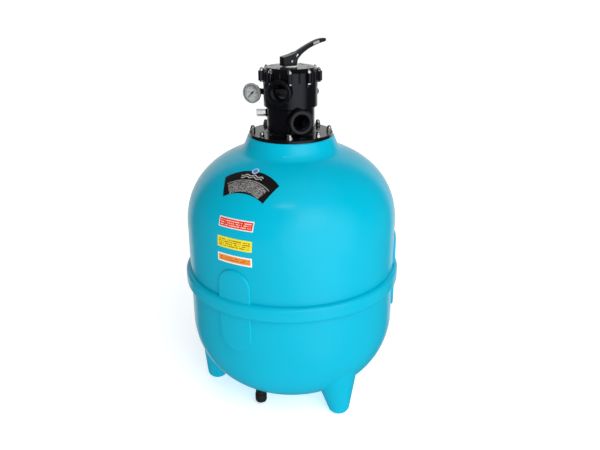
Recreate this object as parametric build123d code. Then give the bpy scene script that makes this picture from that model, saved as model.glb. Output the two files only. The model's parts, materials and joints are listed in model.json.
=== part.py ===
from build123d import *
import os
from math import cos, radians, sin, tan

# Top-mount sand filter tank. Millimetres, +Z up.
# The origin is on the tank's axis, on the floor. The front faces -Y.
# A bearing is an angle about the axis: 0 faces the front and +90 faces +X.
# Heights are measured from a level FLOOR_Z below the floor, and moved down by it on output.
FLOOR_Z = 6.0

# Tank shell
TANK_R = 305.0
WALL = 8.0
DOME_BASE_Z = 541.5
DOME_HEIGHT = 235.0
DOME_POWER = 2.25
BOTTOM_Z = 30.0
BOTTOM_FLAT_R = 96.0
KNUCKLE_HEIGHT = 216.0
NECK_TOP_R = 121.5
NECK_TOP_Z = 797.0
NECK_BASE_R = 139.0
NECK_BASE_Z = 755.0
NECK_BORE_R = 86.0
NECK_BLEND_R = 36.0
NECK_LIP_ROUND = 3.5
BELT_R = 318.0
BELT_LOW_Z = 365.5
BELT_HIGH_Z = 410.0
BELT_ROUND = 9.0
WELD_Z = (BELT_LOW_Z + BELT_HIGH_Z) / 2

# Three legs, and three raised pads between them
LEG_BEARINGS = (33.0, 153.0, 273.0)
LEG_R = 247.0
LEG_SOLE_R = 27.0
LEG_SOLE_ROUND = 20.0
LEG_WIDEN = 0.29
LEG_LEAN = 0.20
LEG_TOP_Z = 190.0
PAD_BEARINGS = (89.5, 209.5, 329.5)
PAD_PROUD = 6.0
PAD_WIDTH = 100.0
PAD_LOW_Z = 255.0
PAD_HIGH_Z = 499.0
PAD_ROUND = 4.0

# Drain, under the front pad
DRAIN_BEARING = 330.0
DRAIN_R = 196.0
DRAIN_LAND_Z = 84.0
DRAIN_BOSS_R = 26.0
DRAIN_TUBE_R = 13.0
DRAIN_BORE_R = 9.0
DRAIN_TUBE_LOW_Z = 27.0
DRAIN_COLLAR_R = 15.6
DRAIN_COLLAR_LOW_Z = 48.0
DRAIN_CAP_R = 16.3
DRAIN_CAP_LOW_Z = 19.5
DRAIN_CAP_HIGH_Z = 47.0
DRAIN_CAP_END = 4.0
DRAIN_CAP_ROUND = 3.5
DRAIN_RIB_R = 1.0
DRAIN_RIBS = 18
DRAIN_FLANGE_R = 21.0
DRAIN_FLANGE_THICK = 4.0
DRAIN_SEAL_THICK = 2.0
STRAINER_R = 14.0
STRAINER_IN_R = 12.0
STRAINER_TALL = 30.0
STRAINER_SLOTS = 8
SCREW_GAP = 0.3

# Tank flange joint: M8 studs
FLANGE_STUDS = 8
FLANGE_R = 118.5
FLANGE_TOP_Z = 806.0
FLANGE_PITCH_R = 108.0
FLANGE_FIRST_BEARING = -2.0
M8_R = 4.0
M8_HOLE_R = 4.5
M8_ACROSS_FLATS = 13.0
M8_WASHER_R = 8.0
M8_WASHER_THICK = 1.6
M8_CAP_NUT_HEIGHT = 15.0
M8_CAP_HEX_HEIGHT = 6.5
M8_CAP_DOME_R = 6.2
SEAL_IN_R = 89.0
SEAL_OUT_R = 99.0
SEAL_THICK = 2.0
INSERT_R = 7.0
INSERT_DEEP = 24.0
STUD_ABOVE_WASHER = 10.0

# Valve body
LOWER_BODY_R = 67.0
STEP_Z = 880.0
STEP_RISE = 5.0
UPPER_BODY_R = 75.0
RIM_LOW_Z = 950.0
RIM_R = 77.5
SPLIT_Z = 963.0
LID_RIM_HIGH_Z = 976.0
LID_TOP_Z = 986.0
LID_TOP_R = 67.0
LID_SLOPE_R = 75.5
LID_MARK_R = 52.0
LID_MARK_PROUD = 0.5
LUG_PITCH_R = 79.0
LUG_REACH_R = 88.5
LUG_WIDTH = 14.0
LUG_ROUND = 5.0
LUG_FIRST_BEARING = -1.5
MID_RIB_R = 3.2
CHAMBER_R = 65.0
LOWER_CHAMBER_R = 60.0
DECK_LOW_Z = 890.0
DECK_TOP_Z = 898.0
DECK_WINDOW_OUT_R = 55.0
DECK_WINDOW_IN_R = 23.0
DECK_WINDOW_HALF_TURN = 30
DECK_BAR_WIDTH = 8.0
DECK_HOLE_R = 16.0
RISER_SOCKET_R = 31.0
RISER_SOCKET_LOW_Z = 742.0
SKIRT_OUT_R = 80.0
SKIRT_IN_R = 75.0
SKIRT_LOW_Z = 774.0
WEB_THICK = 4.0
TANK_WAY_HALF_TURN = 24
LID_SEAL_IN_R = 68.0
LID_SEAL_OUT_R = 72.0
LID_SEAL_DEEP = 3.0
RISER_SEAL_OUT_R = 28.0
RISER_SEAL_Z = 750.0
RISER_SEAL_TALL = 5.0
SHAFT_SEAL_OUT_R = 15.0
SHAFT_SEAL_Z = 978.0
SHAFT_SEAL_TALL = 3.0

# Ports: 1 1/2 inch parallel pipe thread
PORT_FACE_R = 100.0
PORT_RING_R = 33.8
PORT_RING_LONG = 13.0
PORT_RING_ROUND = 4.0
PORT_NECK_R = 30.5
PORT_THREAD_R = 23.9
PORT_THREAD_LONG = 26.0
PORT_WAY_R = 19.5
PUMP_BEARING = -18.5
PUMP_Z = 928.0
RETURN_BEARING = 17.0
WASTE_BEARING = 197.0
LOW_PORT_Z = 849.0

# Side fittings
PLUG_BEARING = 124.0
GAUGE_BEARING = -119.0
FITTING_Z = 910.0
FITTING_THREAD_R = 6.5
FITTING_BOSS_R = 10.5
FITTING_BOSS_END = 85.0
FITTING_SEAL_THICK = 1.5
PLUG_HEAD_THICK = 5.0
PLUG_KEY_ACROSS = 8.0
PLUG_KEY_DEEP = 3.0
ELBOW_AXIS_R = 103.0
ELBOW_R = 8.5
ELBOW_BORE_R = 3.5
GAUGE_BACK = 21.0
GAUGE_DEPTH = 20.0
GAUGE_R = 27.5
GAUGE_BACK_R = 20.0
GAUGE_RIM_LONG = 8.0
GAUGE_WALL = 3.0
GAUGE_RIM_R = 28.2
GAUGE_STEM_R = 5.0
GAUGE_STEM_LONG = 12.0
GAUGE_STEM_ACROSS = 13.0
LENS_R = 25.6
DIAL_R = 25.0
DIAL_THICK = 1.0
MOVEMENT_R = 14.0
NEEDLE_OUTLINE = ((-7, -1.8), (0, -1.4), (19.5, -0.4), (19.5, 0.4), (0, 1.4), (-7, 1.8))
NEEDLE_HUB_R = 2.6
SPINDLE_R = 1.2
SPINDLE_HOLE_R = 1.25
NEEDLE_REST_TURN = 48.0
SIGHT_BEARING = 270.0
SIGHT_Z = 858.5
SIGHT_R = 10.5
SIGHT_THREAD_R = 8.5
SIGHT_SEAT_R = 69.0
SIGHT_END_R = 95.5

# Lid fasteners: M6 bolts
LID_BOLTS = 9
M6_R = 3.0
M6_HOLE_R = 3.3
M6_ACROSS_FLATS = 10.0
M6_HEAD_THICK = 4.0
M6_NUT_THICK = 5.0
M6_WASHER_R = 6.0
M6_WASHER_THICK = 1.2
M6_END_Z = 985.5

# Rotor, spring and lever
MOVING_GAP = 0.3
GASKET_THICK = 4.0
ROTOR_R = 58.0
ROTOR_PLATE_THICK = 8.0
SHAFT_R = 12.0
SHAFT_HOLE_R = 12.05
ROTOR_HUB_R = 27.0
ROTOR_HUB_TOP_Z = 926.0
HOOD_R = 54.0
HOOD_IN_R = 30.0
HOOD_THICK = 4.0
INLET_OUT_R = 52.0
INLET_IN_R = 30.0
INLET_HALF_TURN = 24
INLET_TURN = 197
LID_UNDER_Z = 974.0
SLIP_WASHER_THICK = 2.0
SPRING_R = 21.0
SPRING_WIRE_R = 1.7
SPRING_TURNS = 5
LEVER_TURN = 30.0
LEVER_BASE_WIDTH = 24.0
LEVER_ARM_WIDTH = 11.0
LEVER_PIN_Z = 1000.0
LEVER_PIN_R = 3.0
LEVER_PIN_HOLE_R = 3.05
LEVER_BASE_Z = 988.4
LEVER_BACK = -26.0
LEVER_CAM = 18.0
LEVER_BASE_END = 13.0
LEVER_TOP = (
    (LEVER_BACK, 1012), (-10, 1015.5), (7, 1020), (30, 1030.5), (64, 1046), (86, 1053.5), (108, 1056),
)
LEVER_NOSE = (113, 1052)
LEVER_UNDER = ((109, 1046.5), (87, 1041.5), (68, 1035), (48, 1025.5), (33, 1015), (22, 1004))
LEVER_WINDOW = ((8, 1001.5), (16.5, 1001.5), (29.5, 1014.5), (28, 1019.5), (20, 1017))
GRIP_DEEP = 0.9
GRIP_LONG = 31.0
GRIP_TALL = 5.5
GRIP_CENTRE = (50, 1033.5)
GRIP_SLANT = 25
INLAY_DEEP = 1.0
INLAY_LONG = 20.0
INLAY_TALL = 7.0
INLAY_CENTRE = (81, 1045.5)
INLAY_SLANT = 16
LEVER_SLOT_LONG = 26.0
SHAFT_TOP_Z = 984.0
TONGUE_THICK = 10.0
TONGUE_WIDTH = 18.0
TONGUE_TOP_Z = 1008.0
TONGUE_ROUND = 7.5
THRUST_WASHER_R = 22.0
THRUST_WASHER_TOP_Z = 988.0

# Inside the tank
RISER_R = 25.0
RISER_IN_R = 22.4
RISER_LOW_Z = 146.0
RISER_HIGH_Z = 792.0
HUB_R = 52.0
HUB_LOW_Z = 128.0
HUB_TOP_Z = 152.0
HUB_SOCKET_R = 28.5
HUB_SOCKET_TOP_Z = 178.0
HUB_SLOT_START_R = 33.0
LATERAL_COUNT = 8
LATERAL_PIVOT_R = 42.0
LATERAL_Z = 143.0
LATERAL_R = 12.0
LATERAL_IN_R = 10.0
LATERAL_START_R = 57.0
LATERAL_END_R = 248.0
LATERAL_TONGUE = 8.0
LATERAL_EYE_R = 7.0
LATERAL_PIN_R = 3.0
LATERAL_PIN_LONG = 20.0
LATERAL_PIN_PLAY = 0.05
LATERAL_END_THICK = 3.0
LATERAL_SLOTS = 6
LATERAL_SLOT_PITCH = 28.0
LATERAL_FIRST_SLOT = 22.0
LATERAL_SLOT_WIDE = 1.2
LATERAL_SLOT_LONG = 14.0
LATERAL_SLOT_DEEP = 8.0
DIFFUSER_R = 72.0
DIFFUSER_THICK = 3.0
DIFFUSER_LOW_Z = 712.0
DIFFUSER_SLOTS = 18
DIFFUSER_SLOT_TALL = 40.0
DIFFUSER_SLOT_WIDE = 7.0

# Labels: thin printed layers that follow the shell
LABEL_THICK = 0.5
LABEL_BEARING = 330.3
LABEL_PLANE_R = 150.0
NAME_LABEL_Z = 705.0
NAME_LABEL_BACK = 85.0
NAME_LABEL_TILT = 48
STICKER_WIDTH = 105.0

UPWARD = (Align.CENTER, Align.CENTER, Align.MIN)


def bearing(angle, radius=0.0, z=0.0):
    """Place on the given bearing, with local X pointing outward."""
    return Pos(0, 0, z) * Rot(0, 0, angle - 90) * Pos(radius, 0, 0)


def post(radius, low, high):
    """Upright cylinder on the axis."""
    return Pos(0, 0, low) * Cylinder(radius, high - low, align=UPWARD)


def ring(outer, inner, low, high):
    """Upright tube on the axis."""
    return post(outer, low, high) - post(inner, low, high)


def rod(radius, start, end):
    """Cylinder along local X."""
    return Pos(start, 0, 0) * Rot(0, 90, 0) * Cylinder(radius, end - start, align=UPWARD)


def hexagon(across_flats, low, high):
    """Upright hexagonal prism."""
    outline = RegularPolygon(across_flats / 2, 6, major_radius=False)
    return extrude(Pos(0, 0, low) * outline, amount=high - low)


def spin(outline):
    """Solid of revolution of an outline drawn as (radius, height)."""
    return revolve(Plane.XZ * make_face(outline), Axis.Z)


def at_bearings(piece, radius, first, count):
    """Copies of a piece on a circle, evenly spaced."""
    step = 360 / count
    return [bearing(first + step * i, radius) * piece for i in range(count)]


def at_studs(piece):
    """Copies of a piece on the tank flange's stud circle."""
    return at_bearings(piece, FLANGE_PITCH_R, FLANGE_FIRST_BEARING, FLANGE_STUDS)


def at_lid_bolts(piece):
    """Copies of a piece on the lid's bolt circle."""
    return at_bearings(piece, LUG_PITCH_R, LUG_FIRST_BEARING, LID_BOLTS)


def rim_edges(piece, z, radius=0.0):
    """Circular edges of a piece at one height, at or beyond a radius."""
    edges = piece.edges().filter_by(GeomType.CIRCLE)
    return [e for e in edges if abs(e.center().Z - z) < 0.01 and e.radius > radius]


# ---------------------------------------------------------------- tank


def dome_point(t, grow):
    """Point on the superelliptic dome: t runs from 0 at the wall to 90 at the crown."""
    share = 2 / DOME_POWER
    r = (TANK_R + grow) * cos(radians(t)) ** share
    z = DOME_BASE_Z + (DOME_HEIGHT + grow) * sin(radians(t)) ** share
    return (r, z)


def tank_outline(grow=0.0):
    """Closed half outline of the tank, moved outward by grow."""
    steps = 15
    dome = [dome_point(90 * i / steps, grow) for i in range(steps)]
    crown = (0, DOME_BASE_Z + DOME_HEIGHT + grow)
    wall_r = TANK_R + grow
    knuckle_z = BOTTOM_Z + KNUCKLE_HEIGHT
    knuckle_width = TANK_R - BOTTOM_FLAT_R + grow
    low_z = BOTTOM_Z - grow
    knuckle = EllipticalCenterArc(
        (BOTTOM_FLAT_R, knuckle_z), knuckle_width, KNUCKLE_HEIGHT + grow, 270, arc_size=90
    )
    return [
        Line((0, low_z), (BOTTOM_FLAT_R, low_z)),
        knuckle,
        Line((wall_r, knuckle_z), dome[0]),
        Spline(*dome, crown, tangents=[(0, 1), (-1, 0)]),
        Line(crown, (0, low_z)),
    ]


def leg(shrink=0.0):
    """One tapered leg that leans in towards the tank, as a solid."""
    low_r = LEG_SOLE_R - shrink + LEG_WIDEN * shrink
    high_r = LEG_SOLE_R - shrink + LEG_WIDEN * LEG_TOP_Z
    low = Pos(LEG_R - LEG_LEAN * shrink, 0, FLOOR_Z + shrink) * Circle(low_r)
    high = Pos(LEG_R - LEG_LEAN * LEG_TOP_Z, 0, LEG_TOP_Z) * Circle(high_r)
    body = loft([low, high], ruled=True)
    sole = body.edges().sort_by(Axis.Z)[0]
    return fillet(sole, LEG_SOLE_ROUND - shrink)


def pad():
    """Raised upright pad with round ends, on local +X."""
    tall = PAD_HIGH_Z - PAD_LOW_Z
    middle = (PAD_HIGH_Z + PAD_LOW_Z) / 2
    outline = SlotOverall(tall, PAD_WIDTH, rotation=90)
    slab = extrude(Plane.YZ.offset(TANK_R - 3 * WALL) * Pos(0, middle, 0) * outline, amount=2 * TANK_R)
    body = slab & post(TANK_R + PAD_PROUD, PAD_LOW_Z - 1, PAD_HIGH_Z + 1)
    face = body.faces().sort_by(Axis.X)[-1]
    return fillet(face.edges(), PAD_ROUND)


def belt():
    """Raised band round the middle of the tank."""
    band = post(BELT_R, BELT_LOW_Z, BELT_HIGH_Z)
    return fillet(band.edges().filter_by(GeomType.CIRCLE), BELT_ROUND)


def neck():
    """Tapered collar on top of the dome, solid."""
    blank = Pos(0, 0, NECK_BASE_Z) * Cone(
        NECK_BASE_R, NECK_TOP_R, NECK_TOP_Z - NECK_BASE_Z, align=UPWARD
    )
    return fillet(rim_edges(blank, NECK_TOP_Z), NECK_LIP_ROUND)


def neck_corner(body):
    """The level edge where the collar meets the dome."""
    found = []
    for edge in body.edges():
        box = edge.bounding_box()
        level = box.size.Z < 0.01 and box.size.X > 2 * NECK_TOP_R
        if level and NECK_BASE_Z < box.min.Z < NECK_BASE_Z + 15:
            found.append(edge)
    return found


def drain_place():
    return bearing(DRAIN_BEARING, DRAIN_R)


def tank():
    """The whole hollow tank, before it is parted at its weld."""
    outer = spin(tank_outline()) + neck()
    outer = fillet(neck_corner(outer), NECK_BLEND_R)
    outer += belt()
    outer += [bearing(angle) * pad() for angle in PAD_BEARINGS]
    outer += [bearing(angle) * leg() for angle in LEG_BEARINGS]
    inner = spin(tank_outline(-WALL))
    inner += [bearing(angle) * leg(WALL) for angle in LEG_BEARINGS]
    boss = (drain_place() * post(DRAIN_BOSS_R, BOTTOM_Z, DRAIN_LAND_Z)) & outer
    shell = outer - inner + boss
    shell -= post(NECK_BORE_R, NECK_BASE_Z - 60, NECK_TOP_Z + 1)
    shell -= drain_place() * post(DRAIN_TUBE_R, 0, DRAIN_LAND_Z + 1)
    insert_hole = post(INSERT_R, NECK_TOP_Z - INSERT_DEEP, NECK_TOP_Z + 1)
    return shell - at_studs(insert_hole)


def tank_halves():
    """Upper and lower halves, welded to each other inside the belt."""
    shell = tank()
    above = post(2 * TANK_R, WELD_Z, FLANGE_TOP_Z)
    below = post(2 * TANK_R, 0, WELD_Z)
    return shell & above, shell & below


def neck_inserts():
    one = ring(INSERT_R, M8_R, NECK_TOP_Z - INSERT_DEEP, NECK_TOP_Z)
    groove = ring(INSERT_R + 1, INSERT_R - 1, NECK_TOP_Z - 14, NECK_TOP_Z - 10)
    return at_studs(one - groove)


# ---------------------------------------------------------------- tank flange joint


def flange_seal():
    return ring(SEAL_OUT_R, SEAL_IN_R, NECK_TOP_Z, NECK_TOP_Z + SEAL_THICK)


def cap_nut_base_z():
    return FLANGE_TOP_Z + M8_WASHER_THICK


def flange_studs():
    stud_top = cap_nut_base_z() + STUD_ABOVE_WASHER
    stud = post(M8_R, NECK_TOP_Z - INSERT_DEEP + 3, stud_top)
    stud = chamfer(rim_edges(stud, stud_top), 0.8)
    return at_studs(stud)


def flange_washers():
    washer = ring(M8_WASHER_R, M8_HOLE_R, FLANGE_TOP_Z, cap_nut_base_z())
    return at_studs(washer)


def flange_cap_nuts():
    """Domed hexagon nuts, closed at the top."""
    base = cap_nut_base_z()
    hex_top = base + M8_CAP_HEX_HEIGHT
    top = base + M8_CAP_NUT_HEIGHT
    dome = post(M8_CAP_DOME_R, hex_top, top)
    dome = fillet(rim_edges(dome, top), M8_CAP_DOME_R - 0.4)
    nut = hexagon(M8_ACROSS_FLATS, base, hex_top)
    nut &= Pos(0, 0, base) * Cone(9.6, 6.9, M8_CAP_HEX_HEIGHT + 0.1, align=UPWARD)
    nut += dome
    nut -= post(M8_R, base - 1, base + STUD_ABOVE_WASHER + 1)
    return at_studs(nut)


# ---------------------------------------------------------------- valve body


def lug(low, high):
    """Bolt lug on local +X, rounded at its corners."""
    inner = RIM_R - 12
    block = Pos((LUG_REACH_R + inner) / 2, 0, low) * Box(
        LUG_REACH_R - inner, LUG_WIDTH, high - low, align=UPWARD
    )
    outer_uprights = block.edges().filter_by(Axis.Z).sort_by(Axis.X)[-2:]
    return fillet(outer_uprights, LUG_ROUND)


def rim(low, high):
    """Bolted rim: a disc with a lug for each bolt and a small rib between each two."""
    disc = post(RIM_R, low, high)
    lugs = at_bearings(lug(low, high), 0, LUG_FIRST_BEARING, LID_BOLTS)
    rib = post(MID_RIB_R, low, high)
    ribs = at_bearings(rib, RIM_R, LUG_FIRST_BEARING + 180 / LID_BOLTS, LID_BOLTS)
    return disc + lugs + ribs


def port(angle, z):
    """Threaded port outside: a neck and a ring, on its bearing."""
    neck_rod = rod(PORT_NECK_R, LOWER_CHAMBER_R - 15, PORT_FACE_R - 2)
    ring_rod = rod(PORT_RING_R, PORT_FACE_R - PORT_RING_LONG, PORT_FACE_R)
    face_edges = ring_rod.edges().filter_by(GeomType.CIRCLE)
    ring_rod = fillet(face_edges, PORT_RING_ROUND)
    return bearing(angle, 0, z) * (neck_rod + ring_rod)


def port_bore(angle, z):
    """Hollow of a port: a threaded length, then a narrower way in."""
    thread = rod(PORT_THREAD_R, PORT_FACE_R - PORT_THREAD_LONG, PORT_FACE_R + 1)
    way = rod(PORT_WAY_R, RISER_SOCKET_R + 14, PORT_FACE_R)
    return bearing(angle, 0, z) * (thread + way)


def fitting_boss(angle):
    return bearing(angle, 0, FITTING_Z) * rod(FITTING_BOSS_R, CHAMBER_R + 2, FITTING_BOSS_END)


def fitting_bore(angle):
    return bearing(angle, 0, FITTING_Z) * rod(FITTING_THREAD_R, CHAMBER_R - 5, FITTING_BOSS_END + 1)


def web(angle):
    """Upright wall between two of the valve's lower chambers."""
    reach = LOWER_CHAMBER_R - RISER_SOCKET_R + 4
    middle = (LOWER_CHAMBER_R + RISER_SOCKET_R) / 2
    wall = Pos(middle, 0, FLANGE_TOP_Z - 3) * Box(
        reach, WEB_THICK, DECK_LOW_Z - FLANGE_TOP_Z + 4, align=UPWARD
    )
    return bearing(angle) * wall


def wedge_sides(half_turn, inset, low):
    """Two big blocks that leave a wedge on local +X between them, drawn in by inset."""
    blocks = []
    for side in (-1, 1):
        place = Rot(0, 0, side * half_turn) * Pos(0, side * (CHAMBER_R - inset), low)
        blocks.append(place * Box(4 * CHAMBER_R, 2 * CHAMBER_R, CHAMBER_R, align=UPWARD))
    return blocks


def deck_window(angle):
    """Wedge-shaped opening through the deck and the spider gasket."""
    wedge = ring(DECK_WINDOW_OUT_R, DECK_WINDOW_IN_R, DECK_LOW_Z - 2, DECK_TOP_Z + GASKET_THICK + 1)
    return bearing(angle) * (wedge - wedge_sides(DECK_WINDOW_HALF_TURN, DECK_BAR_WIDTH / 2, DECK_LOW_Z - 3))


def chamber_bearings():
    return [RETURN_BEARING + 60 * i for i in range(6)]


def valve_body():
    body = post(FLANGE_R, NECK_TOP_Z, FLANGE_TOP_Z)
    body = fillet(rim_edges(body, FLANGE_TOP_Z), 2.0)
    foot = Pos(0, 0, FLANGE_TOP_Z) * Cone(LOWER_BODY_R + 5, LOWER_BODY_R, 5, align=UPWARD)
    body += [
        foot,
        post(LOWER_BODY_R, NECK_TOP_Z, STEP_Z + 1),
        Pos(0, 0, STEP_Z - STEP_RISE) * Cone(LOWER_BODY_R, UPPER_BODY_R, STEP_RISE, align=UPWARD),
        post(UPPER_BODY_R, STEP_Z, RIM_LOW_Z + 1),
        rim(RIM_LOW_Z, SPLIT_Z),
        port(PUMP_BEARING, PUMP_Z),
        port(RETURN_BEARING, LOW_PORT_Z),
        port(WASTE_BEARING, LOW_PORT_Z),
        fitting_boss(PLUG_BEARING),
        fitting_boss(GAUGE_BEARING),
        bearing(SIGHT_BEARING, 0, SIGHT_Z) * rod(SIGHT_R + 1, LOWER_CHAMBER_R + 3, SIGHT_SEAT_R),
        ring(SKIRT_OUT_R, SKIRT_IN_R, SKIRT_LOW_Z, NECK_TOP_Z + 1),
    ]
    body -= post(CHAMBER_R, DECK_TOP_Z, SPLIT_Z + 1)
    body -= post(LOWER_CHAMBER_R, FLANGE_TOP_Z - 2, DECK_LOW_Z)
    body += ring(RISER_SOCKET_R, RISER_R, RISER_SOCKET_LOW_Z, DECK_LOW_Z + 1)
    body += [web(angle + 30) for angle in chamber_bearings()]
    body -= post(RISER_R, RISER_SOCKET_LOW_Z - 1, RISER_HIGH_Z)
    body -= post(RISER_IN_R, RISER_HIGH_Z - 1, DECK_LOW_Z - 4)
    body -= post(DECK_HOLE_R, DECK_LOW_Z - 5, DECK_TOP_Z + 1)
    body -= [deck_window(angle) for angle in chamber_bearings()]
    body -= port_bore(PUMP_BEARING, PUMP_Z)
    body -= [port_bore(angle, LOW_PORT_Z) for angle in (RETURN_BEARING, WASTE_BEARING)]
    body -= [fitting_bore(angle) for angle in (PLUG_BEARING, GAUGE_BEARING)]
    sight_bore = rod(SIGHT_THREAD_R, LOWER_CHAMBER_R - 5, SIGHT_SEAT_R + 1)
    body -= bearing(SIGHT_BEARING, 0, SIGHT_Z) * sight_bore
    body -= tank_ways()
    body -= ring(SEAL_OUT_R, SEAL_IN_R, NECK_TOP_Z - 1, NECK_TOP_Z + SEAL_THICK)
    body -= ring(LID_SEAL_OUT_R, LID_SEAL_IN_R, SPLIT_Z - LID_SEAL_DEEP, SPLIT_Z + 1)
    body -= ring(RISER_SEAL_OUT_R, RISER_R - 1, RISER_SEAL_Z, RISER_SEAL_Z + RISER_SEAL_TALL)
    body -= at_studs(post(M8_HOLE_R, NECK_TOP_Z - 1, FLANGE_TOP_Z + 1))
    bolt_hole = post(M6_HOLE_R, RIM_LOW_Z - 1, SPLIT_Z + 1) + post(7.5, RIM_LOW_Z - 14, RIM_LOW_Z)
    body -= at_lid_bolts(bolt_hole)
    return body


def tank_ways():
    """Two lower chambers open downward into the tank's neck."""
    reach = 2 * LOWER_BODY_R
    side = reach * tan(radians(TANK_WAY_HALF_TURN))
    outline = Polyline((0, 0), (reach, -side), (reach, side), (0, 0))
    sector = extrude(Pos(0, 0, NECK_TOP_Z - 2) * make_face(outline), amount=FLANGE_TOP_Z - NECK_TOP_Z + 1)
    arc = ring(LOWER_CHAMBER_R - 2, RISER_SOCKET_R + 2, NECK_TOP_Z - 1, FLANGE_TOP_Z)
    return [bearing(RETURN_BEARING + turn) * sector & arc for turn in (60, 120)]


def valve_lid():
    body = rim(SPLIT_Z, LID_RIM_HIGH_Z)
    slope = Pos(0, 0, LID_RIM_HIGH_Z) * Cone(
        LID_SLOPE_R, LID_TOP_R, LID_TOP_Z - LID_RIM_HIGH_Z, align=UPWARD
    )
    body += fillet(rim_edges(slope, LID_TOP_Z), 2.5)
    body -= post(CHAMBER_R - 3, SPLIT_Z - 1, LID_UNDER_Z)
    body -= post(SHAFT_HOLE_R, SPLIT_Z, LID_TOP_Z + 1)
    body -= ring(SHAFT_SEAL_OUT_R, SHAFT_R - 1, SHAFT_SEAL_Z, SHAFT_SEAL_Z + SHAFT_SEAL_TALL)
    body -= at_lid_bolts(post(M6_HOLE_R, SPLIT_Z - 1, LID_RIM_HIGH_Z + 20))
    spot_face = post(M6_WASHER_R + 0.6, LID_RIM_HIGH_Z, LID_RIM_HIGH_Z + 20)
    body -= at_lid_bolts(spot_face)
    mark = Pos(LID_MARK_R, 0, LID_TOP_Z - 1) * Box(9, 3, 1 + LID_MARK_PROUD, align=UPWARD)
    body += [bearing(RETURN_BEARING + 60 * i) * mark for i in range(6)]
    return body


def lid_seal():
    return ring(LID_SEAL_OUT_R, LID_SEAL_IN_R, SPLIT_Z - LID_SEAL_DEEP, SPLIT_Z)


def shaft_seal():
    """Square-section ring in the lid, just clear of the turning shaft."""
    return ring(SHAFT_SEAL_OUT_R, SHAFT_HOLE_R, SHAFT_SEAL_Z, SHAFT_SEAL_Z + SHAFT_SEAL_TALL)


def lid_bolts():
    head_low = RIM_LOW_Z - M6_HEAD_THICK
    bolt = hexagon(M6_ACROSS_FLATS, head_low, RIM_LOW_Z)
    bolt &= Pos(0, 0, head_low) * Cone(5.2, 6.6, M6_HEAD_THICK, align=UPWARD)
    bolt += post(M6_R, RIM_LOW_Z - 1, M6_END_Z)
    bolt = chamfer(rim_edges(bolt, M6_END_Z), 0.7)
    return at_lid_bolts(bolt)


def lid_washers():
    washer = ring(M6_WASHER_R, M6_HOLE_R, LID_RIM_HIGH_Z, LID_RIM_HIGH_Z + M6_WASHER_THICK)
    return at_lid_bolts(washer)


def lid_nuts():
    low = LID_RIM_HIGH_Z + M6_WASHER_THICK
    nut = hexagon(M6_ACROSS_FLATS, low, low + M6_NUT_THICK)
    nut &= Pos(0, 0, low) * Cone(7.6, 5.1, M6_NUT_THICK, align=UPWARD)
    nut -= post(M6_R, low - 1, low + M6_NUT_THICK + 1)
    return at_lid_bolts(nut)


# ---------------------------------------------------------------- rotor and lever


def spider_gasket():
    """Rubber wheel between the deck and the rotor."""
    body = ring(CHAMBER_R - 5, DECK_HOLE_R + 1, DECK_TOP_Z, DECK_TOP_Z + GASKET_THICK)
    return body - [deck_window(angle) for angle in chamber_bearings()]


def rotor_base_z():
    return DECK_TOP_Z + GASKET_THICK + MOVING_GAP


def rotor_hood(outer, inner, low, high):
    """Half ring on the side away from the front."""
    half = Pos(0, 0, low) * Box(2 * outer, outer, high - low, align=(Align.CENTER, Align.MIN, Align.MIN))
    return ring(outer, inner, low, high) & half


def rotor():
    low = rotor_base_z()
    plate_top = low + ROTOR_PLATE_THICK
    body = post(ROTOR_R, low, plate_top)
    hood_top = ROTOR_HUB_TOP_Z - HOOD_THICK
    body += rotor_hood(HOOD_R, SHAFT_R, plate_top - 1, hood_top)
    body += post(ROTOR_HUB_R, plate_top - 1, ROTOR_HUB_TOP_Z)
    body -= rotor_hood(HOOD_R - HOOD_THICK, HOOD_IN_R, low - 1, hood_top - HOOD_THICK)
    body -= Rot(0, 0, INLET_TURN) * inlet(low - 1, plate_top + 1)
    body += post(SHAFT_R, plate_top, SHAFT_TOP_Z)
    tongue_low = SHAFT_TOP_Z - 1
    tongue = Pos(0, 0, tongue_low) * Box(TONGUE_WIDTH, TONGUE_THICK, TONGUE_TOP_Z - tongue_low, align=UPWARD)
    top_edges = tongue.edges().filter_by(Axis.Y).sort_by(Axis.Z)[-2:]
    tongue = fillet(top_edges, TONGUE_ROUND)
    pin_hole = Pos(0, 0, LEVER_PIN_Z) * Rot(90, 0, 0) * Cylinder(LEVER_PIN_HOLE_R, TONGUE_THICK + 4)
    return body + Rot(0, 0, LEVER_TURN) * (tongue - pin_hole)


def inlet(low, high):
    """Wedge opening of the rotor's inlet, on local +X."""
    wedge = ring(INLET_OUT_R, INLET_IN_R, low, high)
    return wedge - wedge_sides(INLET_HALF_TURN, 0, low - 1)


def slip_washer():
    top = LID_UNDER_Z - MOVING_GAP
    return ring(ROTOR_HUB_R, SHAFT_R + MOVING_GAP, top - SLIP_WASHER_THICK, top)


def rotor_spring():
    """Coil spring between the slip washer and the rotor's hub."""
    low = ROTOR_HUB_TOP_Z + MOVING_GAP + SPRING_WIRE_R
    high = LID_UNDER_Z - MOVING_GAP - SLIP_WASHER_THICK - SPRING_WIRE_R
    path = Pos(0, 0, low) * Helix(pitch=(high - low) / SPRING_TURNS, height=high - low, radius=SPRING_R)
    section = (path ^ 0) * Circle(SPRING_WIRE_R)
    return sweep(section, path=path, is_frenet=True)


def thrust_washer():
    return ring(THRUST_WASHER_R, SHAFT_R + MOVING_GAP, LID_TOP_Z, THRUST_WASHER_TOP_Z)


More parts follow.
